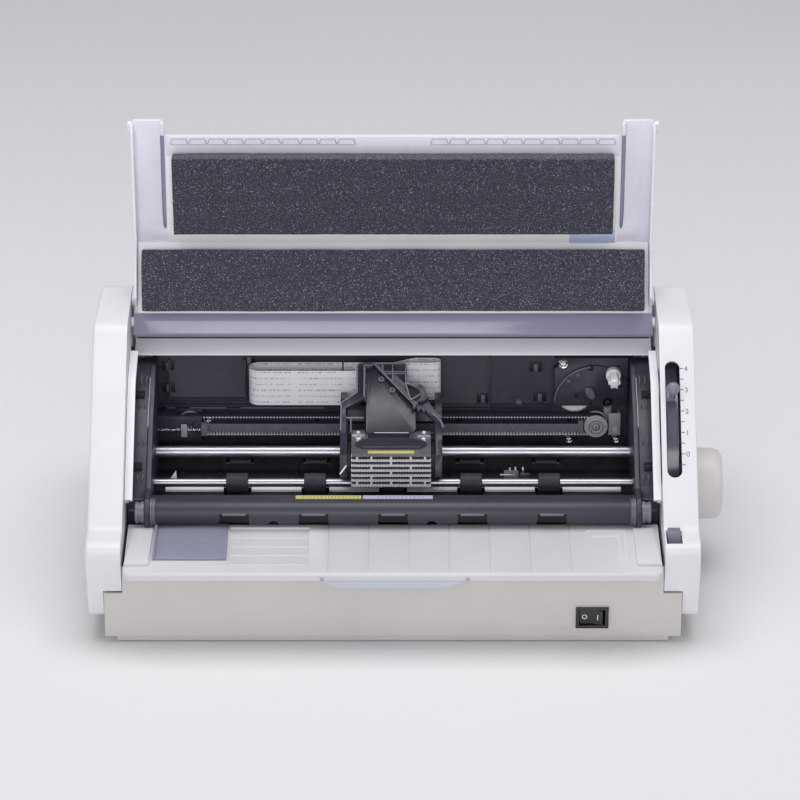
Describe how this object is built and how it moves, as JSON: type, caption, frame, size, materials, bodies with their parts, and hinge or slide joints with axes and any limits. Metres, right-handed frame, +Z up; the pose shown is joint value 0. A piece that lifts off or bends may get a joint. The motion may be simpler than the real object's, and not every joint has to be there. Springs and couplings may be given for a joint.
{
  "type": "dot matrix printer",
  "caption": "Flatbed dot matrix printer, cover open: moving print carriage on a rod, belt drive, geared paper feed with side knob, hinged foam-lined lid, front paper table and power rocker.",
  "frame": {"origin": "middle of the footprint on the ground, at the centre of the overall box", "axes": "+X along the carriage towards the paper knob, +Y to the rear, +Z up; shown with the lid open"},
  "size_m": [0.413, 0.2639, 0.2957],
  "materials": {
    "casing_white": "fine satin texture",
    "casing_grey": "fine satin texture",
    "table_grey": "fine satin texture",
    "knob_cream": "satin",
    "tinted_clear": "smoked translucent plastic",
    "lid_tint": "translucent lavender plastic",
    "panel_white": "satin",
    "foam_dark": "open-cell sound foam",
    "frame_dark": "moulded, fine grain",
    "steel_polished": "polished",
    "steel_sheet": "brushed",
    "aluminium": "die-cast",
    "rubber_black": "matte",
    "gear_white": "moulded",
    "brass": "machined",
    "lever_grey": "satin",
    "switch_black": "gloss",
    "cable_white": "flat flexible cable",
    "film_black": "satin film",
    "scale_yellow": "printed strip",
    "board_green": "solder mask",
    "bracket_grey": "satin"
  },
  "bodies": {
    "printer": {"lower_case": "casing_grey", "upper_case": "casing_white", "left_side_casing": "casing_white", "right_side_casing": "casing_white", "front_table": "table_grey", "rubber_feet": "rubber_black", "left_frame": "frame_dark", "right_frame": "frame_dark", "rear_frame": "frame_dark", "paper_deck": "frame_dark", "steel_guide_plate": "steel_sheet", "platen_bar": "rubber_black", "guide_bar": "frame_dark", "scale_strips": "scale_yellow", "carriage_rod": "steel_polished", "feed_motor": "steel_sheet", "carriage_motor": "steel_sheet", "belt_tensioner": "frame_dark", "carriage_belt": "rubber_black", "encoder_strip": "lever_grey", "encoder_spring": "steel_polished", "carriage_cables": "cable_white", "ribbon_gearbox": "frame_dark", "corner_bracket": "bracket_grey", "switch_body": "switch_black", "main_board": "board_green", "power_supply": "steel_sheet", "screws": "steel_polished"},
    "lid": {"lid_shell": "lid_tint", "lid_panel": "panel_white", "lid_front_foam": "foam_dark", "lid_rear_foam": "foam_dark", "tear_strip": "lid_tint", "hinge_bar": "lid_tint"},
    "carriage": {"carriage_frame": "frame_dark", "carriage_bushings": "brass", "print_head": "film_black", "head_fins": "aluminium", "ribbon_mask": "film_black"},
    "drive_pulley_body": {"drive_pulley": "bracket_grey"},
    "idler_pulley_body": {"idler_pulley": "bracket_grey"},
    "ribbon_spindle_body": {"ribbon_spindle": "gear_white"},
    "ribbon_gear_body": {"ribbon_gear": "gear_white"},
    "knob_train": {"knob_gear": "gear_white", "paper_knob": "knob_cream"},
    "front_feed": {"front_feed_shaft": "steel_polished", "front_feed_rollers": "rubber_black", "front_feed_gear": "gear_white"},
    "rear_feed": {"rear_feed_shaft": "steel_polished", "rear_feed_rollers": "rubber_black", "rear_feed_gear": "gear_white"},
    "idler_rolls": {"idler_shaft": "steel_polished", "idler_rollers": "rubber_black"},
    "rear_pinch": {"rear_pinch_rollers": "frame_dark"},
    "feed_pinion": {"motor_pinion": "brass"},
    "gap_lever_body": {"gap_lever": "lever_grey"},
    "release_lever_body": {"release_lever": "lever_grey"},
    "power_rocker_body": {"power_rocker": "switch_black"},
    "paper_guide_body": {"paper_guide": "tinted_clear"},
    "support": {"pull_out_support": "tinted_clear"}
  },
  "joints": [
    {"name": "lid_hinge", "type": "hinge", "parent": "printer", "child": "lid", "pos_m": [-0.011, 0.03, 0.16], "axis": [1, 0, 0], "range_deg": [0, 130.5]},
    {"name": "carriage_slide", "type": "slide", "parent": "printer", "child": "carriage", "axis": [1, 0, 0], "range_m": [-0.112, 0.104], "deforming": ["carriage_cables"]},
    {"name": "drive_pulley_spin", "type": "hinge", "parent": "printer", "child": "drive_pulley_body", "pos_m": [0.1244, 0.033, 0.084], "axis": [0, 1, 0], "continuous": true},
    {"name": "idler_pulley_spin", "type": "hinge", "parent": "printer", "child": "idler_pulley_body", "pos_m": [-0.147, 0.033, 0.084], "axis": [0, 1, 0], "continuous": true},
    {"name": "ribbon_spindle_spin", "type": "hinge", "parent": "printer", "child": "ribbon_spindle_body", "pos_m": [0.1352, 0.022, 0.1218], "axis": [0, 1, 0], "continuous": true},
    {"name": "ribbon_gear_spin", "type": "hinge", "parent": "printer", "child": "ribbon_gear_body", "pos_m": [0.11, 0.036, 0.1038], "axis": [0, 1, 0], "continuous": true},
    {"name": "knob_turn", "type": "hinge", "parent": "printer", "child": "knob_train", "pos_m": [0.189, 0.0017, 0.0555], "axis": [1, 0, 0], "continuous": true},
    {"name": "front_feed_spin", "type": "hinge", "parent": "printer", "child": "front_feed", "pos_m": [-0.011, -0.0243, 0.0555], "axis": [1, 0, 0], "continuous": true},
    {"name": "rear_feed_spin", "type": "hinge", "parent": "printer", "child": "rear_feed", "pos_m": [-0.011, 0.0277, 0.0555], "axis": [1, 0, 0], "continuous": true},
    {"name": "idler_spin", "type": "hinge", "parent": "printer", "child": "idler_rolls", "pos_m": [-0.011, -0.0243, 0.0685], "axis": [1, 0, 0], "continuous": true},
    {"name": "rear_pinch_spin", "type": "hinge", "parent": "printer", "child": "rear_pinch", "pos_m": [-0.011, 0.0277, 0.06615], "axis": [1, 0, 0], "continuous": true},
    {"name": "motor_pinion_spin", "type": "hinge", "parent": "printer", "child": "feed_pinion", "pos_m": [0.149, 0.0017, 0.0345], "axis": [1, 0, 0], "continuous": true},
    {"name": "gap_lever_swing", "type": "hinge", "parent": "printer", "child": "gap_lever_body", "pos_m": [0.167, 0.0067, 0.076], "axis": [1, 0, 0], "range_deg": [-12, 38]},
    {"name": "release_lever_slide", "type": "slide", "parent": "printer", "child": "release_lever_body", "axis": [0, -1, 0], "range_m": [0, 0.005]},
    {"name": "power_rocker_tilt", "type": "hinge", "parent": "printer", "child": "power_rocker_body", "pos_m": [0.1164, -0.114, 0.0188], "axis": [0, 0, 1], "range_deg": [0, 16]},
    {"name": "paper_guide_slide", "type": "slide", "parent": "printer", "child": "paper_guide_body", "axis": [1, 0, 0], "range_m": [0, 0.04]},
    {"name": "support_slide", "type": "slide", "parent": "printer", "child": "support", "axis": [0, -1, 0], "range_m": [0, 0.045]}
  ],
  "couplings": [
    {"joint": "drive_pulley_spin", "follows": "carriage_slide", "rad_per_m": 155.04},
    {"joint": "idler_pulley_spin", "follows": "carriage_slide", "rad_per_m": 155.04},
    {"joint": "ribbon_gear_spin", "follows": "carriage_slide", "rad_per_m": -38.76},
    {"joint": "ribbon_spindle_spin", "follows": "carriage_slide", "rad_per_m": 77.519},
    {"joint": "front_feed_spin", "follows": "knob_turn", "ratio": -1.3636},
    {"joint": "rear_feed_spin", "follows": "knob_turn", "ratio": -1.3636},
    {"joint": "idler_spin", "follows": "knob_turn", "ratio": 1.3636},
    {"joint": "rear_pinch_spin", "follows": "knob_turn", "ratio": 2.1648},
    {"joint": "motor_pinion_spin", "follows": "knob_turn", "ratio": -2.5}
  ]
}
